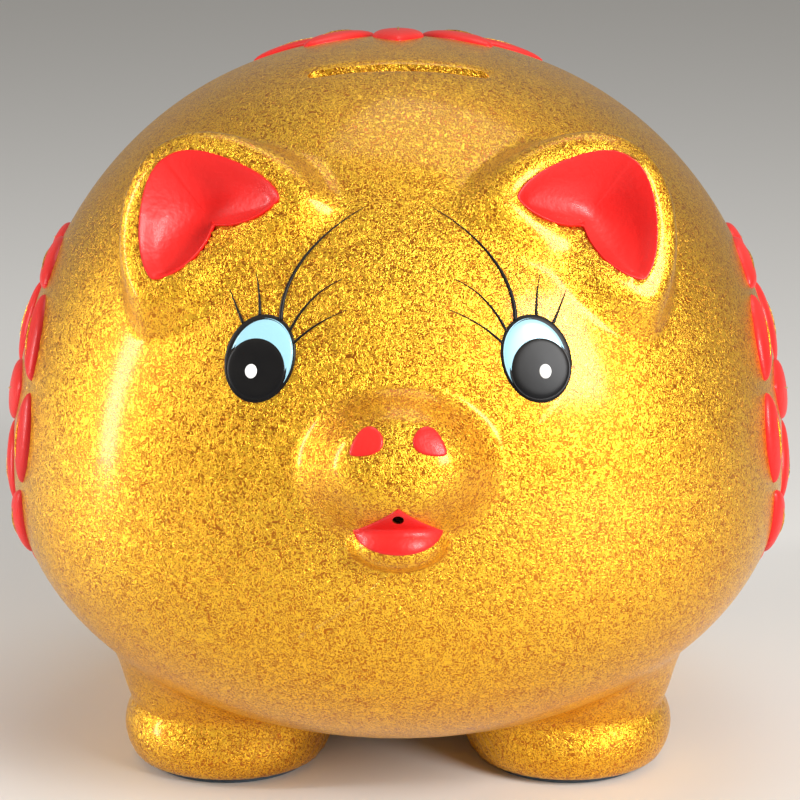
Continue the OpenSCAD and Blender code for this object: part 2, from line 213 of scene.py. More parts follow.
def trunk(u):
    """Radius of the plain trunk: half an egg above its widest ring, half a flatter one below."""
    s = sizes()
    x, y, z = u[..., 0], u[..., 1], u[..., 2]
    top, face = z >= 0, y < 0
    p = np.where(top, UPPER_ROUND, LOWER_ROUND)
    q = np.where(face, BROW_ROUND + (CHEST_ROUND - BROW_ROUND) * ease(-z, -0.2, 0.8), RUMP_ROUND)
    ring = np.abs(x * 2 / s.width) ** p + np.abs(z / np.where(top, s.back, s.belly)) ** p
    return (ring ** (q / p) + np.abs(y / np.where(face, s.front, s.rear)) ** q) ** (-1 / q)


def egg(u, centre, half):
    """Far side of an ellipsoid, met by a ray along u."""
    a, b = u / np.array(half), np.array(centre) / np.array(half)
    aa, ab = (a * a).sum(-1), (a * b).sum(-1)
    d = ab * ab - aa * ((b * b).sum() - 1)
    return np.maximum((ab + np.sign(d) * np.sqrt(np.abs(d))) / aa, 0)


def local(u, az, el):
    """Places east and north of a bearing, true to length there, and how squarely u faces it."""
    c = compass(az, el)
    w = np.maximum(u @ c, 0.05)
    r = trunk(c)
    return r * (u @ east(az)) / w, r * (u @ north(az, el)) / w, u @ c


def ear_outline(turn):
    """From an ear's middle to the edge of its lining: two tips, either side of a hollow lower edge."""
    t = (np.degrees(turn) + 180) % 360 - 180
    return (8 + 11 * peak((t - 70) / 37) + 11.2 * peak((t + 57) / 33) - 7.2 * bell(t / 54.5)) * MM


def ear(u):
    """Height of the ears over the head: a dish inside a rim that is lowest on its hollow side."""
    s = sizes()
    x, y, facing = local(u, s.ear_az, s.ear_el)
    turn = np.arctan2(y, x) - EAR_TURN
    edge = ear_outline(turn)
    d = np.hypot(x, y)
    high = EAR_ROOT + (s.ear_rise - EAR_ROOT) * (1 - np.cos(turn)) / 2
    bed = LINING_BED * ease(edge - d, 0, LINING_STEP)
    dish = EAR_FLOOR + (high - EAR_FLOOR) * (d / edge) ** 2.2 - bed
    rim = high * (1 - ease(d - edge, EAR_RIM, EAR_RIM + EAR_SLOPE))
    return np.where(facing < 0.5, 0, np.where(d < edge, dish, rim))


def snout(u):
    """A blunt egg with a flat nose, tilted up."""
    s = sizes()
    tilt = s.snout_el + math.radians(3.5)
    out, up = compass(0, tilt), north(0, tilt)
    c = compass(0, s.snout_el) * (s.front + s.snout_out - 28 * MM)
    tilted = np.stack([u[..., 0], u @ out, u @ up], -1)
    round_nose = egg(tilted, (0, c @ out, c @ up), (21 * MM, 30 * MM, 16.5 * MM))
    flat_nose = (s.front + s.snout_out - 1 * MM) / np.maximum(u @ out, 0.2)
    return soft_min(round_nose, flat_nose, 5 * MM)


def lip(u):
    """A small egg under the snout."""
    s = sizes()
    c = compass(0, s.snout_el - math.radians(10.3)) * (s.front + s.snout_out - 18 * MM)
    return egg(u, c, (11 * MM, 11 * MM, 6.5 * MM))


def feet():
    """Middles of the left front and left rear foot, seen from the body's centre."""
    for low, high in ((PAD_LOW, PAD_HIGH), (REAR_PAD_LOW, REAR_PAD_HIGH)):
        yield (low.x + high.x) / 2, (low.y + high.y) / 2 - CENTRE[1]


def slot_lip(p):
    """How much the glaze rounds off around the coin slot."""
    s = sizes()
    beside = np.maximum(np.abs(p[..., 0]) - (s.slot_length - s.slot_width) / 2, 0)
    away = np.hypot(beside, p[..., 1] + SLOT_FORWARD) - s.slot_width / 2
    return np.where(p[..., 2] > 0, 0.5 * MM * bell(np.maximum(away, 0) / (0.6 * MM)), 0)


def skin(v):
    """Radius of the finished casting in each direction v."""
    s = sizes()
    u = np.array(v, float)
    u[..., 0] = np.abs(u[..., 0])
    r = soft_max(trunk(u), snout(u), 9 * MM)
    r = soft_max(r, lip(u), 2.5 * MM)
    sole = s.belly + s.legs
    for x, y in feet():
        for half, height in (LEG, FOOT):
            r = soft_max(r, egg(u, (x, y, height - sole), half), 9 * MM)
    r = r + ear(u)
    r = r - slot_lip(u * r[..., None])
    down = np.maximum(-u[..., 2], 0.1)
    return np.where(u[..., 2] < -0.1, soft_min(r, sole / down, 1.5 * MM), r)


def on_skin(az, el, places, lift):
    """Points on the casting, given as lengths east and north of a bearing, raised by lift."""
    c = compass(az, el)
    p = np.asarray(places, float)
    u = c * trunk(c) + p[..., :1] * east(az) + p[..., 1:2] * north(az, el)
    u /= np.linalg.norm(u, axis=-1, keepdims=True)
    return CENTRE + u * (skin(u) + lift)[..., None]


# ---- mesh tools ----


def new_piece(name, points, faces, material=None, smooth=True):
    """A mesh object from points and faces, standing at the origin."""
    mesh = bpy.data.meshes.new(name)
    mesh.from_pydata(np.asarray(points, float).tolist(), [], faces)
    mesh.validate()
    piece = bpy.data.objects.new(name, mesh)
    bpy.context.scene.collection.objects.link(piece)
    if material:
        mesh.materials.append(material)
    if smooth:
        mesh.shade_smooth()
    return piece


def globe(name, radius, meridians, rings, crowd=8.0):
    """A closed surface around the centre.

    Meridians crowd towards the ears and legs, rings towards the face.
    """
    t = np.arange(meridians) / meridians * TURN
    a = t + math.radians(crowd) * np.sin(4 * t)
    k = np.arange(1, rings) / rings
    b = (math.pi * (0.62 * k + 0.38 * k ** 3))[:, None]
    u = np.stack([np.sin(b) * np.cos(a), -np.cos(b) * np.ones_like(a), np.sin(b) * np.sin(a)], -1)
    u = np.vstack([[0, -1, 0], u.reshape(-1, 3), [0, 1, 0]])
    points = np.clip(CENTRE + u * radius(u)[:, None], SHELL_LOW, SHELL_HIGH)
    last = len(u) - 1
    start = 1 + (rings - 2) * meridians
    faces = []
    for i in range(meridians):
        j = (i + 1) % meridians
        faces.append((0, 1 + i, 1 + j))
        faces.append((start + i, last, start + j))
        for row in range(rings - 2):
            here = 1 + row * meridians
            faces.append((here + i, here + meridians + i, here + meridians + j, here + j))
    return new_piece(name, points, faces)


def lathe(name, profile, centre, material=None, steps=96):
    """A closed solid turned about a vertical axis, from a profile that starts and ends on it, going up."""
    inner = profile[1:-1]
    points = [(centre[0], centre[1], profile[0][1])]
    for r, z in inner:
        for i in range(steps):
            a = TURN * i / steps
            points.append((centre[0] + r * math.cos(a), centre[1] + r * math.sin(a), z))
    points.append((centre[0], centre[1], profile[-1][1]))
    last = len(points) - 1
    start = 1 + (len(inner) - 1) * steps
    faces = []
    for i in range(steps):
        j = (i + 1) % steps
        faces.append((0, 1 + j, 1 + i))
        faces.append((start + i, start + j, last))
        for row in range(len(inner) - 1):
            here = 1 + row * steps
            faces.append((here + i, here + j, here + steps + j, here + steps + i))
    return new_piece(name, points, faces, material)


def tube(name, rings, material=None, smooth=True):
    """A solid through rings of points, closed at both ends.

    Each ring runs anticlockwise as seen from the last one.
    """
    rings = np.asarray(rings, float)
    count, sides = rings.shape[:2]
    faces = [tuple(range(sides - 1, -1, -1)), tuple((count - 1) * sides + i for i in range(sides))]
    for k in range(count - 1):
        for i in range(sides):
            a, j = k * sides, (i + 1) % sides
            faces.append((a + i, a + j, a + sides + j, a + sides + i))
    return new_piece(name, rings.reshape(-1, 3), faces, material, smooth)


def leaf_faces(m, rings):
    """Faces of a closed leaf: a middle point and rings of m points on top, the same again underneath."""
    n = 1 + rings * m

    def at(k, i):
        return 0 if k == 0 else 1 + (k - 1) * m + i % m

    faces = []
    for i in range(m):
        faces.append((0, at(1, i), at(1, i + 1)))
        faces.append((n, n + at(1, i + 1), n + at(1, i)))
        faces.append((at(rings, i), n + at(rings, i), n + at(rings, i + 1), at(rings, i + 1)))
        for k in range(1, rings):
            quad = (at(k, i), at(k + 1, i), at(k + 1, i + 1), at(k, i + 1))
            faces.append(quad)
            faces.append(tuple(n + q for q in reversed(quad)))
    return faces


def rings_to_edge(rings):
    """Shares of the way from a leaf's middle to its edge, closer together near the edge."""
    return 1 - (1 - np.arange(rings + 1) / rings) ** 1.6


def settle(piece):
    """Turns a piece's modifiers into plain mesh."""
    depsgraph = bpy.context.evaluated_depsgraph_get()
    mesh = bpy.data.meshes.new_from_object(piece.evaluated_get(depsgraph))
    mesh.name = piece.name
    piece.modifiers.clear()
    if piece.type == "MESH":
        piece.data = mesh
        return piece
    name = piece.name
    bpy.data.objects.remove(piece)
    plain = bpy.data.objects.new(name, mesh)
    bpy.context.scene.collection.objects.link(plain)
    return plain


def combine(piece, tool, operation="DIFFERENCE"):
    """Cuts tool out of piece, or joins it on, and removes tool."""
    modifier = piece.modifiers.new("combine", "BOOLEAN")
    modifier.operation = operation
    modifier.solver = "MANIFOLD"
    modifier.object = tool
    settle(piece)
    bpy.data.objects.remove(tool)
    return piece


def coat(name, bearing, outline, middle, height, material, side=1, dome=0.0, sink=0.3 * MM,
         rings=14, edge=14):
    """A closed coat of enamel on the casting, with a rounded edge.

    side is 1 on the pig's left and -1 on its right.
    """
    az, el = bearing
    outline, middle = np.asarray(outline), np.asarray(middle)
    m = len(outline)
    f = rings_to_edge(rings)
    grid = middle + (outline[None] - middle) * f[:, None, None]
    thick = height * np.sqrt(1 - f ** edge) + dome * (1 - f * f)
    top = on_skin(az, el, grid, np.repeat(thick[:, None], m, 1))
    low = on_skin(az, el, grid, np.full((rings + 1, m), -sink))
    points = np.vstack([top[0, :1], top[1:].reshape(-1, 3), low[0, :1], low[1:].reshape(-1, 3)])
    faces = leaf_faces(m, rings)
    if side < 0:
        points[:, 0] *= -1
        faces = [tuple(reversed(face)) for face in faces]
    return new_piece(name, points, faces, material)


def around(n):
    """n angles, evenly spaced round a circle."""
    return np.arange(n) / n * TURN


def turned(points, a):
    """Flat points, turned by an angle."""
    c, s = math.cos(a), math.sin(a)
    return np.stack([points[..., 0] * c - points[..., 1] * s, points[..., 0] * s + points[..., 1] * c], -1)


def oval(w, h, tilt=0.0, at=(0, 0), n=72):
    """An oval outline with half sizes w and h, tilted in degrees."""
    a = around(n)
    return np.array(at) + turned(np.stack([w * np.cos(a), h * np.sin(a)], -1), math.radians(tilt))


def hand_over(piece, body, node_name):
    """Puts a finished piece on its body, in place of its plain node."""
    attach(piece, body)
    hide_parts(node_name)


def repaint(piece, paint, crease):
    """Gives a cut piece one material, and keeps edges sharper than crease degrees crisp."""
    piece.data.materials.clear()
    piece.data.materials.append(paint)
    piece.data.shade_smooth()
    piece.data.set_sharp_from_angle(angle=math.radians(crease))


# ---- materials ----


def group(name, inputs, outputs):
    """An empty shader node group with named sockets, each given as (name, kind, default)."""
    tree = bpy.data.node_groups.new(name, "ShaderNodeTree")
    for direction, sockets in (("INPUT", inputs), ("OUTPUT", outputs)):
        for label, kind, default in sockets:
            item = tree.interface.new_socket(label, in_out=direction, socket_type=kind)
            if default is not None:
                item.default_value = default
    return tree, tree.nodes.new("NodeGroupInput"), tree.nodes.new("NodeGroupOutput")


def node(tree, kind, values=(), links=(), **settings):
    """Adds a node, sets its properties and socket values, and links sockets into it."""
    new = tree.nodes.new(kind)
    for key, value in settings.items():
        setattr(new, key, value)
    for socket, value in dict(values).items():
        new.inputs[socket].default_value = value
    for socket, source in dict(links).items():
        tree.links.new(source, new.inputs[socket])
    return new


def math_node(tree, operation, a, b=None, clamp=False):
    """One arithmetic step; a and b are sockets or numbers."""
    new = tree.nodes.new("ShaderNodeMath")
    new.operation = operation
    new.use_clamp = clamp
    for index, value in enumerate((a, b)):
        if value is None:
            continue
        if isinstance(value, (int, float)):
            new.inputs[index].default_value = value
        else:
            tree.links.new(value, new.inputs[index])
    return new.outputs[0]


def crackle_group():
    """Wrinkled foil under glaze: short worm-like strokes, as a mask, and the height of their relief."""
    tree, given, out = group(
        "Foil Crackle",
        [("Scale", "NodeSocketFloat", 1000.0), ("Sharpness", "NodeSocketFloat", 3.0)],
        [(label, "NodeSocketFloat", None) for label in ("Mask", "Height", "Drift")])
    place = node(tree, "ShaderNodeTexCoord").outputs["Object"]
    worms = node(tree, "ShaderNodeTexNoise", {"Detail": 1.5, "Roughness": 0.55, "Distortion": 2.2},
                 {"Vector": place, "Scale": given.outputs["Scale"]})
    grit = node(tree, "ShaderNodeTexNoise", {"Detail": 1.0, "Distortion": 0.8},
                {"Vector": place, "Scale": math_node(tree, "MULTIPLY", given.outputs["Scale"], 2.3)})
    drift = node(tree, "ShaderNodeTexNoise", {"Scale": 28.0, "Detail": 3.0, "Roughness": 0.55},
                 {"Vector": place})
    fold = math_node(tree, "ABSOLUTE", math_node(tree, "SUBTRACT", worms.outputs["Fac"], 0.5))
    ridge = math_node(tree, "SUBTRACT", 1.0, math_node(tree, "MULTIPLY", fold, 7.0), clamp=True)
    mixed = math_node(tree, "ADD", math_node(tree, "MULTIPLY", ridge, 0.6),
                      math_node(tree, "MULTIPLY", grit.outputs["Fac"], 0.4))
    steep = math_node(tree, "MULTIPLY", math_node(tree, "SUBTRACT", mixed, 0.5), given.outputs["Sharpness"])
    tree.links.new(math_node(tree, "ADD", steep, 0.5, clamp=True), out.inputs["Mask"])
    tree.links.new(mixed, out.inputs["Height"])
    tree.links.new(drift.outputs["Fac"], out.inputs["Drift"])
    return tree


def peel_group():
    """The soft orange peel of a brushed enamel, as a height, with a faint speckle."""
    tree, given, out = group("Enamel Peel", [("Scale", "NodeSocketFloat", 500.0)],
                             [("Height", "NodeSocketFloat", None), ("Speckle", "NodeSocketFloat", None)])
    place = node(tree, "ShaderNodeTexCoord").outputs["Object"]
    peel = node(tree, "ShaderNodeTexNoise", {"Detail": 2.5, "Roughness": 0.5},
                {"Vector": place, "Scale": given.outputs["Scale"]})
    flow = node(tree, "ShaderNodeTexNoise", {"Scale": 60.0, "Detail": 2.0}, {"Vector": place})
    tree.links.new(peel.outputs["Fac"], out.inputs["Height"])
    tree.links.new(flow.outputs["Fac"], out.inputs["Speckle"])
    return tree


def wear_group():
    """Edges that the hand has rubbed: 1 on sharp convex edges, broken up by noise."""
    tree, given, out = group("Rubbed Edges", [("Reach", "NodeSocketFloat", 0.53)],
                             [("Mask", "NodeSocketFloat", None)])
    bend = node(tree, "ShaderNodeNewGeometry").outputs["Pointiness"]
    place = node(tree, "ShaderNodeTexCoord").outputs["Object"]
    patches = node(tree, "ShaderNodeTexNoise", {"Scale": 220.0, "Detail": 3.0}, {"Vector": place})
    over = math_node(tree, "SUBTRACT", bend, given.outputs["Reach"])
    sharp = math_node(tree, "MULTIPLY", over, 14.0, clamp=True)
    tree.links.new(math_node(tree, "MULTIPLY", sharp, patches.outputs["Fac"], clamp=True), out.inputs["Mask"])
    return tree


def dust_group():
    """Dust that settles on upward faces and stays in patches."""
    tree, given, out = group("Settled Dust", [("Amount", "NodeSocketFloat", 0.2)],
                             [("Mask", "NodeSocketFloat", None)])
    normal = node(tree, "ShaderNodeNewGeometry").outputs["Normal"]
    up = node(tree, "ShaderNodeSeparateXYZ", (), {"Vector": normal})
    place = node(tree, "ShaderNodeTexCoord").outputs["Object"]
    patches = node(tree, "ShaderNodeTexNoise", {"Scale": 90.0, "Detail": 4.0}, {"Vector": place})
    level = math_node(tree, "MAXIMUM", up.outputs["Z"], 0.0)
    lying = math_node(tree, "MULTIPLY", level, given.outputs["Amount"])
    tree.links.new(math_node(tree, "MULTIPLY", lying, patches.outputs["Fac"], clamp=True), out.inputs["Mask"])
    return tree


def place_group(tree, maker, name, values=()):
    """Places a shared shader group, which is made the first time that it is asked for."""
    shared = bpy.data.node_groups.get(name) or maker()
    return node(tree, "ShaderNodeGroup", values, node_tree=shared)


def roughen(tree, shader, height, strength, depth):
    """Bumps a shader's surface by a height, to a depth in metres."""
    bump = node(tree, "ShaderNodeBump", {"Strength": strength, "Distance": depth}, {"Height": height})
    tree.links.new(bump.outputs["Normal"], shader.inputs["Normal"])


def material(name):
    """A new material, its tree and its shader."""
    made = bpy.data.materials.new(name)
    made.use_nodes = True
    shader = made.node_tree.nodes["Principled BSDF"]
    return made, made.node_tree, shader


def mix_colour(tree, factor, a, b):
    """Mixes colour b over a by a mask. Each is a socket or a plain colour."""
    new = node(tree, "ShaderNodeMix", data_type="RGBA")
    tree.links.new(factor, new.inputs["Factor"])
    for socket, value in ((6, a), (7, b)):
        if isinstance(value, bpy.types.NodeSocket):
            tree.links.new(value, new.inputs[socket])
        else:
            new.inputs[socket].default_value = (*value, 1)
    return new.outputs[2]


def gold_glaze():
    """Metallic gold foil crackle under a thin clear glaze."""
    if "crackled_gold" in bpy.data.materials:
        return bpy.data.materials["crackled_gold"]
    made, tree, shader = material("crackled_gold")
    c = colours()
    crackle = place_group(tree, crackle_group, "Foil Crackle", {"Scale": 900.0, "Sharpness": 3.8})
    wear = place_group(tree, wear_group, "Rubbed Edges")
    dust = place_group(tree, dust_group, "Settled Dust", {"Amount": 0.06})
    body = mix_colour(tree, crackle.outputs["Mask"], c.ground, c.flake)
    warm = mix_colour(tree, math_node(tree, "MULTIPLY", crackle.outputs["Drift"], 0.30), body, c.amber)
    worn = mix_colour(tree, math_node(tree, "MULTIPLY", wear.outputs["Mask"], 0.4), warm, c.rubbed)
    final = mix_colour(tree, dust.outputs["Mask"], worn, c.dust)
    tree.links.new(final, shader.inputs["Base Color"])
    rough = math_node(tree, "ADD", math_node(tree, "MULTIPLY", crackle.outputs["Drift"], 0.16), 0.22)
    tree.links.new(rough, shader.inputs["Roughness"])
    shader.inputs["Metallic"].default_value = 0.85
    shader.inputs["Coat Weight"].default_value = 0.25
    shader.inputs["Coat Roughness"].default_value = 0.15
    roughen(tree, shader, crackle.outputs["Height"], 0.8, 0.12 * MM)
    return made


def enamel(name, tint, dark, roughness, peel=500.0, depth=0.05 * MM, coat_weight=0.3, specular=0.5):
    """Glossy enamel over the casting, with a little peel and uneven depth of colour."""
    if name in bpy.data.materials:
        return bpy.data.materials[name]
    made, tree, shader = material(name)
    surface = place_group(tree, peel_group, "Enamel Peel", {"Scale": peel})
    dust = place_group(tree, dust_group, "Settled Dust", {"Amount": 0.10})
    body = mix_colour(tree, surface.outputs["Speckle"], tint, dark)
    dusted = mix_colour(tree, dust.outputs["Mask"], body, colours().dust)
    tree.links.new(dusted, shader.inputs["Base Color"])
    rough = math_node(tree, "ADD", math_node(tree, "MULTIPLY", surface.outputs["Speckle"], 0.12), roughness)
    tree.links.new(rough, shader.inputs["Roughness"])
    shader.inputs["Coat Weight"].default_value = coat_weight
    shader.inputs["Specular IOR Level"].default_value = specular
    shader.inputs["Coat Roughness"].default_value = 0.08
    roughen(tree, shader, surface.outputs["Height"], 0.5, depth)
    return made


def darker(tint, by=0.75):
    """The same hue with less light in it."""
    return tuple(channel * by for channel in tint)


def red_enamel():
    """Thick brushed enamel of the ears, nose, mouth and ornament."""
    red = colours().red
    return enamel("red_gloss", red, darker(red, 0.72), 0.36, 850.0, 0.22 * MM, 0.08, 0.32)


def black_enamel():
    """Thin enamel of the eye outlines, pupils and lashes."""
    black = colours().black
    return enamel("black_gloss", black, darker(black), 0.28, 300.0, 0.03 * MM, 0.0, 0.15)


def blue_enamel():
    """Thin enamel of the irises."""
    blue = colours().blue
    return enamel("blue_satin", blue, darker(blue, 0.9), 0.25, 300.0, 0.03 * MM)


def white_enamel():
    """Thin enamel of the glints."""
    white = colours().white
    return enamel("white_gloss", white, darker(white, 0.95), 0.2, 300.0, 0.03 * MM)


def bisque():
    """Bare fired clay, as it is inside the casting."""
    if "fired_bisque" in bpy.data.materials:
        return bpy.data.materials["fired_bisque"]
    made, tree, shader = material("fired_bisque")
    grain = place_group(tree, peel_group, "Enamel Peel", {"Scale": 1400.0})
    tint = mix_colour(tree, grain.outputs["Speckle"], colours().bisque, darker(colours().bisque))
    tree.links.new(tint, shader.inputs["Base Color"])
    shader.inputs["Roughness"].default_value = 0.9
    roughen(tree, shader, grain.outputs["Height"], 0.4, 0.1 * MM)
    return made


def soft_material(name, tint, pores, depth, roughness):
    """Moulded rubber or cut foam: matt, with fine pores, paler where it is rubbed."""
    if name in bpy.data.materials:
        return bpy.data.materials[name]
    made, tree, shader = material(name)
    grain = place_group(tree, peel_group, "Enamel Peel", {"Scale": pores})
    wear = place_group(tree, wear_group, "Rubbed Edges")
    body = mix_colour(tree, grain.outputs["Speckle"], tint, darker(tint, 0.6))
    pale = tuple(min(1, channel * 2.2 + 0.02) for channel in tint)
    tree.links.new(mix_colour(tree, wear.outputs["Mask"], body, pale), shader.inputs["Base Color"])
    shader.inputs["Roughness"].default_value = roughness
    roughen(tree, shader, grain.outputs["Height"], 0.5, depth)
    return made


# ---- pieces ----


def slot_cutter():
    """A round-ended prism that opens the coin slot."""
    s = sizes()
    straight, r = (s.slot_length - s.slot_width) / 2, s.slot_width / 2
    a = np.linspace(-TURN / 4, TURN / 4, 25)
    half = np.stack([straight + r * np.cos(a), r * np.sin(a)], -1)
    outline = np.vstack([half, -half]) + (0, CENTRE[1] - SLOT_FORWARD)
    back = CENTRE[2] + s.back
    rings = [np.column_stack([outline, np.full(len(outline), z)]) for z in (back - 30 * MM, back + 20 * MM)]
    return tube("slot_cutter", rings, smooth=False)


def vent_cutter():
    """A thin rod through the mouth, which opens the vent that kiln gases leave by."""
    s = sizes()
    reach = s.front + s.snout_out
    up = (reach - 5 * MM) * math.tan(s.snout_el - math.radians(6.2))
    a = around(32)
    x, z = VENT_RADIUS * np.cos(a), CENTRE[2] + up + VENT_RADIUS * np.sin(a)
    ends = (CENTRE[1] - s.front + 25 * MM, CENTRE[1] - reach - 20 * MM)
    return tube("vent_cutter", [np.stack([x, np.full(32, y), z], -1) for y in ends], smooth=False)


def belly_cutter():
    """The hole through the belly and the recess round it, with the edge that the glaze rounds off."""
    x, y = 0.0, (STOPPER_LOW.y + STOPPER_HIGH.y) / 2
    bore = 18 * MM
    flange = (STOPPER_HIGH.x - STOPPER_LOW.x) / 2 + 0.5 * MM
    seat = STOPPER_LOW.z + 2.55 * MM
    top = CENTRE[2] - 30 * MM
    profile = [
        (0, top), (bore, top), (bore, seat + 0.4 * MM), (bore + 0.4 * MM, seat), (flange, seat),
        (flange, seat - 2.4 * MM), (flange + 0.4 * MM, seat - 3.0 * MM),
        (flange + 2 * MM, seat - 4.2 * MM), (flange + 2 * MM, seat - 9 * MM), (0, seat - 9 * MM)]
    return lathe("belly_cutter", profile[::-1], (x, y))


class PIG_OT_shell(bpy.types.Operator):
    """The hollow casting, with its slot, vent and stopper hole"""

    bl_idname = "pig.shell"
    bl_label = "Body Shell"

    def execute(self, context):
        s = sizes()
        shell = globe("body_shell_casting", skin, 376, 222)
        cavity = globe("cavity", lambda u: trunk(u) - s.wall, 120, 70)
        y = (STOPPER_LOW.y + STOPPER_HIGH.y) / 2
        collar_top = STOPPER_HIGH.z - 1.5 * MM
        collar = lathe("collar", [(0, 0), (26 * MM, 0), (26 * MM, collar_top), (0, collar_top)], (0, y))
        combine(cavity, collar)
        combine(shell, cavity)
        combine(shell, slot_cutter())
        combine(shell, vent_cutter())
        combine(shell, belly_cutter())
        repaint(shell, gold_glaze(), 50)
        mesh = shell.data
        mesh.materials.append(bisque())
        count = len(mesh.polygons)
        middles = np.empty(count * 3, np.float32)
        mesh.polygons.foreach_get("center", middles)
        middles = middles.reshape(-1, 3) - CENTRE
        r = np.linalg.norm(middles, axis=1)
        inside = r < trunk(middles / r[:, None]) - s.wall * 0.7
        mesh.polygons.foreach_set("material_index", inside.astype(np.int32))
        hand_over(shell, "bank", "body_shell")
        return {"FINISHED"}


class PIG_OT_tail(bpy.types.Operator):
    """A curl that tapers to its tip, laid flat against the rump"""

    bl_idname = "pig.tail"
    bl_label = "Tail"

    def execute(self, context):
        el = math.radians(20)
        spot, up, side = compass(math.pi, el), north(math.pi, el), np.array([1.0, 0, 0])
        rings = []
        for t in np.linspace(0, 1, 97):
            a = math.radians(324 * t - 90)
            arm = side * math.cos(a) + up * math.sin(a)
            r = (3.2 + (1.2 - 3.2) * t * t) * MM
            r *= math.sqrt(max(1 - max(t - 0.96, 0) ** 2 / 0.04 ** 2, 0.02))
            reach = (7.5 + (3.6 - 7.5) * t) * MM
            b = around(28)[:, None]
            root = CENTRE + spot * (trunk(spot) + 1.2 * MM)
            rings.append(root + arm * (reach + r * np.cos(b)) + spot * r * np.sin(b))
        tail = tube("tail_curl", rings, gold_glaze())
        hand_over(tail, "bank", "tail")
        return {"FINISHED"}


class PIG_OT_ear_linings(bpy.types.Operator):
    """Red enamel in the dish of each ear"""

    bl_idname = "pig.ear_linings"
    bl_label = "Ear Linings"

    def execute(self, context):
        s = sizes()
        a = around(160)
        outline = ear_outline(a - EAR_TURN)[:, None] * np.stack([np.cos(a), np.sin(a)], -1)
        for name, side in SIDES:
            lining = coat(f"{name}_ear_enamel", (s.ear_az, s.ear_el), outline, (0, 0), s.enamel,
                          red_enamel(), side, dome=LINING_BED, sink=0.5 * MM, rings=24, edge=24)
            hand_over(lining, "bank", f"{name}_ear_lining")
        return {"FINISHED"}


class PIG_OT_eyes(bpy.types.Operator):
    """Each eye in four coats: outline, iris, pupil and glint"""

    bl_idname = "pig.eyes"
    bl_label = "Eyes"

    def execute(self, context):
        s = sizes()
        bearing = (s.eye_az, s.eye_el)
        coats = (
            ("outline", (7.6, 9.4), 12, (0, 0), 0.0, 0.4, black_enamel(), "black_enamel"),
            ("iris", (6.8, 8.6), 12, (-0.25, -0.1), 0.35, 0.6, blue_enamel(), "blue_enamel"),
            ("pupil", (6.6, 6.6), 0, (0.4, -2.2), 0.55, 0.8, black_enamel(), "black_enamel"),
            ("glint", (1.4, 1.6), 0, (1.25, -2.9), 0.75, 1.0, white_enamel(), "white_enamel"),
        )
        for name, side in SIDES:
            for label, (w, h), tilt, (x, y), low, high, paint, slot in coats:
                at = (x * MM, y * MM)
                outline = oval(w * MM, h * MM, tilt, at)
                piece = coat(f"{name}_eye_{label}_coat", bearing, outline, at, high * MM, paint, side,
                             sink=-low * MM if low else 0.3 * MM)
                hand_over(piece, "bank", f"{name}_eye_{label}")
        return {"FINISHED"}


class PIG_OT_face(bpy.types.Operator):
    """Red enamel on the nostrils and the lower lip"""

    bl_idname = "pig.face"
    bl_label = "Nostrils and Mouth"

    def execute(self, context):
        s = sizes()
        a = around(64)
        at = np.array([6, 4.9]) * MM
        drop = np.stack([3.4 * np.cos(a), 2.4 * np.sin(a) * (1 - 0.45 * np.cos(a))], -1) * MM
        drop = at + turned(drop, math.radians(-35))
        for name, side in SIDES:
            piece = coat(f"{name}_nostril_enamel", (0, s.snout_el), drop, at, s.enamel, red_enamel(), side)
            hand_over(piece, "bank", f"{name}_nostril")
        a = around(128)
        x = 9.2 * np.cos(a)
        above = -1.2 + 5.7 * np.maximum(1 - np.abs(np.cos(a)), 0) ** 1.2
        below = -1.2 + 3.9 * np.sin(a)
        outline = np.stack([x, np.where(np.sin(a) > 0, above, below)], -1) * MM
        mouth = coat("mouth_enamel_coat", (0, s.snout_el - math.radians(7.5)), outline, (0, -1.5 * MM),
                     s.enamel, red_enamel(), sink=0.5 * MM, rings=20)
        combine(mouth, vent_cutter())
        repaint(mouth, red_enamel(), 50)
        hand_over(mouth, "bank", "mouth_enamel")
        return {"FINISHED"}


# ---- Geometry Nodes ----


def geometry_tree(name, inputs):
    """An empty geometry tree with named inputs, each given as (name, kind)."""
    tree = bpy.data.node_groups.new(name, "GeometryNodeTree")
    tree.interface.new_socket("Geometry", in_out="INPUT", socket_type="NodeSocketGeometry")
    for label, kind in inputs:
        tree.interface.new_socket(label, in_out="INPUT", socket_type=kind)
    tree.interface.new_socket("Geometry", in_out="OUTPUT", socket_type="NodeSocketGeometry")
    return tree, tree.nodes.new("NodeGroupInput"), tree.nodes.new("NodeGroupOutput")


def end_tree(tree, given, out, geometry):
    """Realizes what came out and gives it its material."""
    real = node(tree, "GeometryNodeRealizeInstances", (), {"Geometry": geometry})
    done = node(tree, "GeometryNodeSetMaterial", (),
                {"Geometry": real.outputs[0], "Material": given.outputs["Material"]})
    tree.links.new(done.outputs[0], out.inputs[0])


def run_tree(piece, tree, values):
    """Runs a geometry tree on a piece, its inputs given by name, and leaves plain mesh."""
    modifier = piece.modifiers.new(tree.name, "NODES")
    modifier.node_group = tree
    for item in tree.interface.items_tree:
        if item.in_out == "INPUT" and item.name in values:
            modifier[item.identifier] = values[item.name]
    return settle(piece)


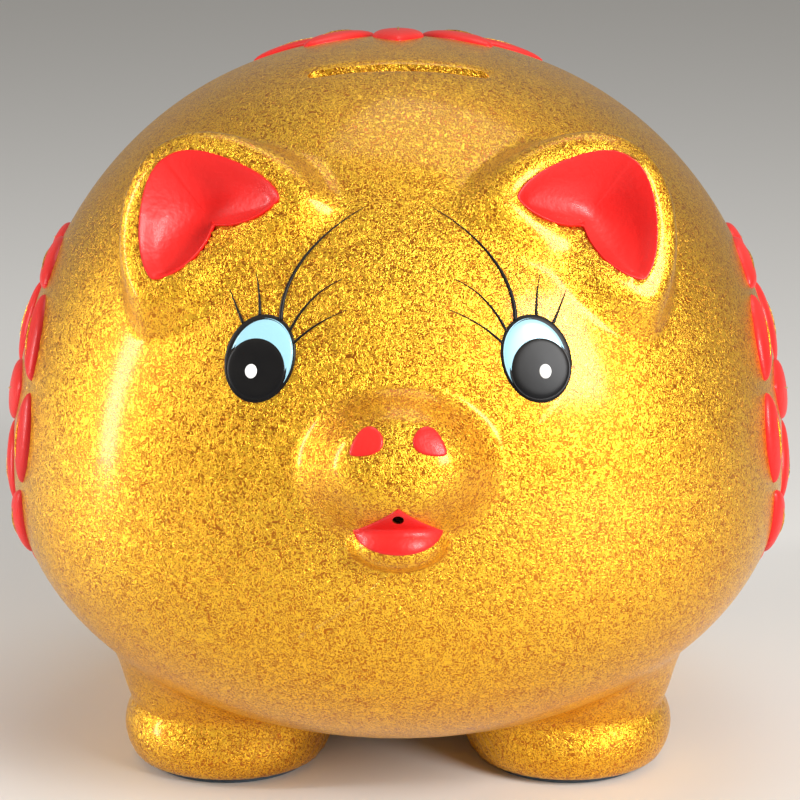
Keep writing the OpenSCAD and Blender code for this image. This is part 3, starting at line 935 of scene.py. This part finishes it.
def stroke_tree():
    """Brush strokes: curves become round strokes, thinned along their length to a hair."""
    tree, given, out = geometry_tree("Brush Strokes", [
        ("Width", "NodeSocketFloat"), ("Tip", "NodeSocketFloat"), ("Steps", "NodeSocketInt"),
        ("Material", "NodeSocketMaterial")])
    even = node(tree, "GeometryNodeResampleCurve", (),
                {"Curve": given.outputs[0], "Count": given.outputs["Steps"]})
    along = node(tree, "GeometryNodeSplineParameter")
    thin = node(tree, "ShaderNodeMapRange", (), {
        "Value": along.outputs["Factor"], "To Min": given.outputs["Width"], "To Max": given.outputs["Tip"]})
    ring = node(tree, "GeometryNodeCurvePrimitiveCircle", {"Resolution": 10, "Radius": 1.0})
    body = node(tree, "GeometryNodeCurveToMesh", {"Fill Caps": True},
                {"Curve": even.outputs[0], "Profile Curve": ring.outputs[0], "Scale": thin.outputs[0]})
    end_tree(tree, given, out, body.outputs[0])
    return tree


# Root, bend and tip of each lash, in millimetres east and north of the eye, and half its width.
LASHES = (
    ((4.6, 7.0), (6.9, 10.6), (8.7, 13.8), 0.35),
    ((1.2, 9.0), (1.8, 13.5), (3.6, 17.6), 0.35),
    ((-3.5, 8.2), (-1.5, 21), (-16.5, 37), 0.50),
    ((-5.6, 6.2), (-8.6, 15), (-15, 19), 0.35),
    ((-6.8, 3.9), (-10.6, 8.8), (-17, 12.5), 0.30),
)


def bent(a, b, c, steps):
    """A curve from a to c, bent towards b."""
    t = np.linspace(0, 1, steps)[:, None]
    return np.array(a) * (1 - t) ** 2 + np.array(b) * 2 * t * (1 - t) + np.array(c) * t ** 2


class PIG_OT_lashes(bpy.types.Operator):
    """Five painted lashes over each eye"""

    bl_idname = "pig.lashes"
    bl_label = "Lashes"

    def execute(self, context):
        s = sizes()
        tree = stroke_tree()
        for name, side in SIDES:
            strokes = []
            for index, (a, b, c, half) in enumerate(LASHES):
                line = on_skin(s.eye_az, s.eye_el, bent(a, b, c, 40) * MM, np.full(40, 0.0))
                line[:, 0] *= side
                curve = bpy.data.curves.new(f"{name}_lash_{index}", "CURVE")
                curve.dimensions = "3D"
                spline = curve.splines.new("POLY")
                spline.points.add(len(line) - 1)
                spline.points.foreach_set("co", np.hstack([line, np.ones((len(line), 1))]).ravel())
                piece = bpy.data.objects.new(curve.name, curve)
                context.scene.collection.objects.link(piece)
                strokes.append(run_tree(piece, tree, {"Width": half * MM, "Tip": 0.07 * MM, "Steps": 48,
                                                      "Material": black_enamel()}))
            lashes = joined(f"{name}_lash_strokes", strokes)
            hand_over(lashes, "bank", f"{name}_lashes")
        return {"FINISHED"}


def joined(name, pieces):
    """Several plain meshes as one piece, each part keeping its own material."""
    points, faces, paints, indices, start = [], [], [], [], 0
    for piece in pieces:
        mesh = piece.data
        points += [tuple(v.co) for v in mesh.vertices]
        faces += [tuple(start + i for i in face.vertices) for face in mesh.polygons]
        start += len(mesh.vertices)
        paint = mesh.materials[-1]
        if paint not in paints:
            paints.append(paint)
        indices += [paints.index(paint)] * len(mesh.polygons)
        bpy.data.objects.remove(piece)
    whole = new_piece(name, np.clip(points, CAD_BOX[0], CAD_BOX[1]), faces, paints[0])
    for paint in paints[1:]:
        whole.data.materials.append(paint)
    whole.data.polygons.foreach_set("material_index", indices)
    return whole


def ornament_tree():
    """A ring of petals laid flat, then pressed onto the casting along one direction."""
    tree, given, out = geometry_tree("Pressed Petals", [
        ("Petal", "NodeSocketObject"), ("Casting", "NodeSocketObject"), ("Count", "NodeSocketInt"),
        ("Ring Radius", "NodeSocketFloat"), ("Start", "NodeSocketFloat"), ("Step", "NodeSocketFloat"),
        ("Turn", "NodeSocketFloat"), ("Root", "NodeSocketVector"), ("Middle", "NodeSocketVector"),
        ("East", "NodeSocketVector"), ("North", "NodeSocketVector"), ("Out", "NodeSocketVector"),
        ("Material", "NodeSocketMaterial")])
    g = given.outputs
    line = node(tree, "GeometryNodeMeshLine", (), {"Count": g["Count"]})
    index = node(tree, "GeometryNodeInputIndex").outputs[0]
    turn = math_node(tree, "ADD", math_node(tree, "MULTIPLY", index, g["Step"]), g["Start"])
    arm_x = math_node(tree, "MULTIPLY", math_node(tree, "COSINE", turn), g["Ring Radius"])
    arm_y = math_node(tree, "MULTIPLY", math_node(tree, "SINE", turn), g["Ring Radius"])
    arm = node(tree, "ShaderNodeCombineXYZ", (), {"X": arm_x, "Y": arm_y})
    spot = node(tree, "ShaderNodeVectorMath", (), {0: arm.outputs[0], 1: g["Root"]}, operation="ADD")
    placed = node(tree, "GeometryNodeSetPosition", (),
                  {"Geometry": line.outputs[0], "Position": spot.outputs[0]})
    facing = node(tree, "ShaderNodeCombineXYZ", (), {"Z": math_node(tree, "ADD", turn, g["Turn"])})
    petal = node(tree, "GeometryNodeObjectInfo", (), {"Object": g["Petal"]})
    laid = node(tree, "GeometryNodeInstanceOnPoints", (), {
        "Points": placed.outputs[0], "Instance": petal.outputs["Geometry"], "Rotation": facing.outputs[0]})
    flat = node(tree, "GeometryNodeRealizeInstances", (), {"Geometry": laid.outputs[0]})
    where = node(tree, "GeometryNodeInputPosition").outputs[0]
    at = node(tree, "ShaderNodeSeparateXYZ", (), {"Vector": where})
    base = g["Middle"]
    for axis, part in (("East", "X"), ("North", "Y")):
        step = node(tree, "ShaderNodeVectorMath", (), {0: g[axis], "Scale": at.outputs[part]},
                    operation="SCALE")
        total = node(tree, "ShaderNodeVectorMath", (), {0: base, 1: step.outputs[0]}, operation="ADD")
        base = total.outputs[0]
    far = node(tree, "ShaderNodeVectorMath", {"Scale": 0.2}, {0: g["Out"]}, operation="SCALE")
    start = node(tree, "ShaderNodeVectorMath", (), {0: base, 1: far.outputs[0]}, operation="ADD")
    inward = node(tree, "ShaderNodeVectorMath", {"Scale": -1.0}, {0: g["Out"]}, operation="SCALE")
    casting = node(tree, "GeometryNodeObjectInfo", (), {"Object": g["Casting"]})
    hit = node(tree, "GeometryNodeRaycast", {"Ray Length": 0.4}, {
        "Target Geometry": casting.outputs["Geometry"], "Source Position": start.outputs[0],
        "Ray Direction": inward.outputs[0]})
    lift = node(tree, "ShaderNodeVectorMath", (), {0: hit.outputs["Hit Normal"], "Scale": at.outputs["Z"]},
                operation="SCALE")
    pressed = node(tree, "ShaderNodeVectorMath", (), {0: hit.outputs["Hit Position"], 1: lift.outputs[0]},
                   operation="ADD")
    moved = node(tree, "GeometryNodeSetPosition", (),
                 {"Geometry": flat.outputs[0], "Position": pressed.outputs[0]})
    end_tree(tree, given, out, moved.outputs[0])
    return tree


def petal_blank(name, half_length, half_width, height, pointed=0.5, m=40, rings=8, bottom=-0.3 * MM):
    """A flat-backed petal with a crowned top and rounded rim, lying in the XY plane."""
    a = around(m)
    pinch = 1 - pointed + pointed * np.abs(np.sin(a))
    outline = np.stack([half_length * np.cos(a), half_width * np.sin(a) * pinch], -1)
    f = rings_to_edge(rings)
    grid = outline[None] * f[:, None, None]
    crown = np.maximum(height * (0.62 * np.sqrt(1 - f ** 6) + 0.38 * (1 - f * f)), bottom)
    points = [(0, 0, crown[0])]
    points += [(*grid[k, i], crown[k]) for k in range(1, rings + 1) for i in range(m)]
    points += [(x, y, bottom) for x, y, z in points]
    return new_piece(name, points, leaf_faces(m, rings))


def press_petals(tree, blank, count, ring, start, step, turn, root, bearing, paint):
    """Runs the ornament tree for one ring of petals."""
    az, el = bearing
    host = new_piece("petal_ring", [(0, 0, 0)], [])
    return run_tree(host, tree, {
        "Petal": blank, "Casting": bpy.data.objects["body_shell_casting"], "Count": count,
        "Start": start, "Step": step, "Turn": turn, "Ring Radius": ring, "Root": root,
        "Middle": tuple(CENTRE), "East": tuple(east(az)), "North": tuple(north(az, el)),
        "Out": tuple(compass(az, el)), "Material": paint})


class PIG_OT_ornament(bpy.types.Operator):
    """A raised blossom and leaf ring on each flank, and a fan of petals on the crown"""

    bl_idname = "pig.ornament"
    bl_label = "Ornament"

    def execute(self, context):
        s = sizes()
        tree = ornament_tree()
        h = s.relief - 0.12 * MM
        shapes = {
            "blossom": (10.5 * MM, 7 * MM, 0.5),
            "leaf": (10.5 * MM, 4.5 * MM, 0.5),
            "boss": (5 * MM, 5 * MM, 0),
            "fan": (13 * MM, 6 * MM, 0.5),
        }
        blanks, veins = {}, {}
        for name, (half_length, half_width, pointed) in shapes.items():
            blanks[name] = petal_blank(f"{name}_blank", half_length, half_width, h, pointed)
            veins[name] = petal_blank(f"{name}_vein", half_length * 0.7, 0.45 * MM, h + 0.3 * MM,
                                      m=24, rings=4, bottom=h * 0.5)
        rings = (
            ("blossom", 5, 17 * MM, TURN / 4, TURN / 5, 0),
            ("leaf", 10, s.medallion - 5.5 * MM, 0, TURN / 10, TURN / 4),
            ("boss", 1, 0, 0, 0, 0),
        )
        for name, side in SIDES:
            bearing = (side * TURN / 4, math.radians(9))
            parts = []
            for shape, count, radius, start, step, turn in rings:
                layout = (count, radius, start, step, turn, (0, 0, 0), bearing)
                parts.append(press_petals(tree, blanks[shape], *layout, red_enamel()))
                if shape != "boss":
                    parts.append(press_petals(tree, veins[shape], *layout, gold_glaze()))
            medallion = joined(f"{name}_flank_ornament", parts)
            hand_over(medallion, "bank", f"{name}_flank_relief")
        bearing = (TURN / 2, math.atan2(s.back * 0.97, 27 * MM))
        layout = (5, 23 * MM, math.radians(18), math.radians(36), 0, (0, -13 * MM, 0), bearing)
        parts = [press_petals(tree, blanks["fan"], *layout, red_enamel()),
                 press_petals(tree, veins["fan"], *layout, gold_glaze())]
        hand_over(joined("crown_ornament", parts), "bank", "crown_relief")
        for blank in (*blanks.values(), *veins.values()):
            bpy.data.objects.remove(blank)
        return {"FINISHED"}


class PIG_OT_stopper(bpy.types.Operator):
    """The soft rubber stopper in the belly, with its pull bar"""

    bl_idname = "pig.stopper"
    bl_label = "Belly Stopper"

    def execute(self, context):
        low, high = STOPPER_LOW, STOPPER_HIGH
        centre = ((low.x + high.x) / 2, (low.y + high.y) / 2)
        flange = (high.x - low.x) / 2
        neck, cup = 17.95 * MM, 13.95 * MM
        rim = low.z + 2.5 * MM
        floor = high.z - 3 * MM
        f = 0.5 * MM
        profile = [
            (0, floor), (cup - f, floor), (cup, floor - f), (cup, low.z + f), (cup + f, low.z),
            (flange - f, low.z), (flange, low.z + f), (flange, rim - f), (flange - f, rim),
            (neck, rim), (neck, high.z - 1.5 * MM), (neck - 1.5 * MM, high.z), (0, high.z)]
        body = lathe("belly_stopper_rubber", profile, centre, soft_rubber())
        bar = rounded_bar(centre, cup + 0.5 * MM, 2.5 * MM, low.z, low.z + 4 * MM)
        combine(body, bar, "UNION")
        repaint(body, soft_rubber(), 40)
        hand_over(body, "stopper", "belly_stopper")
        return {"FINISHED"}


def rounded_bar(centre, half, thick, low, high):
    """A bar along X with a rounded section."""
    middle, tall = (low + high) / 2, (high - low) / 2
    a = around(32)
    y = centre[1] + thick * np.copysign(np.abs(np.cos(a)) ** 0.5, np.cos(a))
    z = middle + tall * np.copysign(np.abs(np.sin(a)) ** 0.5, np.sin(a))
    return tube("bar", [np.stack([np.full(32, centre[0] + x), y, z], -1) for x in (-half, half)])


def soft_rubber():
    """Dark moulded rubber of the stopper."""
    return soft_material("moulded_rubber", colours().rubber, 900.0, 0.05 * MM, 0.62)


class PIG_OT_foot_pads(bpy.types.Operator):
    """A disc of foam under each foot"""

    bl_idname = "pig.foot_pads"
    bl_label = "Foot Pads"

    def execute(self, context):
        paint = soft_material("cut_foam", colours().foam, 1500.0, 0.12 * MM, 0.85)
        for end in ("front", "rear"):
            for side, _ in SIDES:
                low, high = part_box(f"{end}_{side}_foot_pad")
                centre = ((low.x + high.x) / 2, (low.y + high.y) / 2)
                r, f = (high.x - low.x) / 2, 0.35 * MM
                profile = [
                    (0, low.z), (r - f, low.z), (r - 0.1 * MM, low.z + f * 0.6),
                    (r, (low.z + high.z) / 2),
                    (r - 0.1 * MM, high.z - f * 0.6), (r - f, high.z), (0, high.z)]
                pad = lathe(f"{end}_{side}_foam_disc", profile, centre, paint)
                hand_over(pad, "bank", f"{end}_{side}_foot_pad")
        return {"FINISHED"}


# ---- stage ----


def softbox(name, place, target, width, height, power):
    """A soft rectangular lamp that faces a target. Its power is in watts."""
    light = bpy.data.lights.new(name, "AREA")
    light.shape = "RECTANGLE"
    light.size, light.size_y = width, height
    light.energy = power
    lamp = bpy.data.objects.new(name, light)
    lamp.location = place
    lamp.rotation_euler = (Vector(target) - Vector(place)).to_track_quat("-Z", "Y").to_euler()
    bpy.context.scene.collection.objects.link(lamp)


class PIG_OT_stage(bpy.types.Operator):
    """Pale floor, soft lights and the camera"""

    bl_idname = "pig.stage"
    bl_label = "Stage"

    def execute(self, context):
        corners = [(-3, -3, 0), (3, -3, 0), (3, 3, 0), (-3, 3, 0)]
        floor = new_piece("floor", corners, [(0, 1, 2, 3)], smooth=False)
        pale, _, shader = material("pale_floor")
        shader.inputs["Base Color"].default_value = (0.72, 0.71, 0.69, 1)
        shader.inputs["Roughness"].default_value = 0.6
        floor.data.materials.append(pale)
        world = bpy.data.worlds.new("studio")
        context.scene.world = world
        world.use_nodes = True
        sky = world.node_tree.nodes["Background"]
        sky.inputs["Color"].default_value = (0.88, 0.85, 0.80, 1)
        sky.inputs["Strength"].default_value = 0.35
        middle = tuple(CENTRE)
        softbox("left_softbox", (-0.80, -0.14, 0.26), middle, 0.10, 0.62, 5.5)
        softbox("right_softbox", (0.56, -0.62, 0.46), middle, 0.30, 0.42, 10.5)
        softbox("top_softbox", (0.10, 0.20, 0.95), middle, 0.5, 0.5, 2.0)
        elevation, distance = math.radians(16), 0.75
        view = np.array([0, -math.cos(elevation), math.sin(elevation)])
        up = np.array([0, math.sin(elevation), math.cos(elevation)])
        camera = bpy.data.cameras.new("camera")
        camera.lens = 143.6
        camera.sensor_width = 36
        camera.shift_x = 0.005
        eye = bpy.data.objects.new("camera", camera)
        eye.location = CENTRE + view * distance
        target = CENTRE + up * 11.6 * MM - np.array([0.5 * MM, 0, 0])
        eye.rotation_euler = Vector(target - np.array(eye.location)).to_track_quat("-Z", "Y").to_euler()
        context.scene.collection.objects.link(eye)
        context.scene.camera = eye
        context.scene.view_settings.view_transform = "Standard"
        return {"FINISHED"}


OPERATORS = (PIG_OT_shell, PIG_OT_tail, PIG_OT_ear_linings, PIG_OT_eyes, PIG_OT_face, PIG_OT_lashes,
             PIG_OT_ornament, PIG_OT_stopper, PIG_OT_foot_pads, PIG_OT_stage)


class PIG_PT_panel(bpy.types.Panel):
    """Builds the bank's pieces one by one"""

    bl_idname = "PIG_PT_panel"
    bl_label = "Coin Bank"
    bl_space_type = "VIEW_3D"
    bl_region_type = "UI"
    bl_category = "Coin Bank"

    def draw(self, context):
        for operator in OPERATORS:
            self.layout.operator(operator.bl_idname)
        for settings in (sizes(), colours()):
            for name in settings.__annotations__:
                self.layout.prop(settings, name)


CLASSES = (PigSizes, PigColours, *OPERATORS, PIG_PT_panel)


def register():
    """Adds the operators, the panel and the scene's own settings."""
    for cls in CLASSES:
        bpy.utils.register_class(cls)
    bpy.types.Scene.pig_sizes = bpy.props.PointerProperty(type=PigSizes)
    bpy.types.Scene.pig_colours = bpy.props.PointerProperty(type=PigColours)


def unregister():
    """Takes away what register added."""
    del bpy.types.Scene.pig_colours
    del bpy.types.Scene.pig_sizes
    for cls in reversed(CLASSES):
        bpy.utils.unregister_class(cls)


def main():
    """Builds the whole bank and its stage."""
    register()
    bpy.ops.pig.shell()
    bpy.ops.pig.tail()
    bpy.ops.pig.ear_linings()
    bpy.ops.pig.eyes()
    bpy.ops.pig.face()
    bpy.ops.pig.lashes()
    bpy.ops.pig.ornament()
    bpy.ops.pig.stopper()
    bpy.ops.pig.foot_pads()
    bpy.ops.pig.stage()


if __name__ == "__main__":
    main()
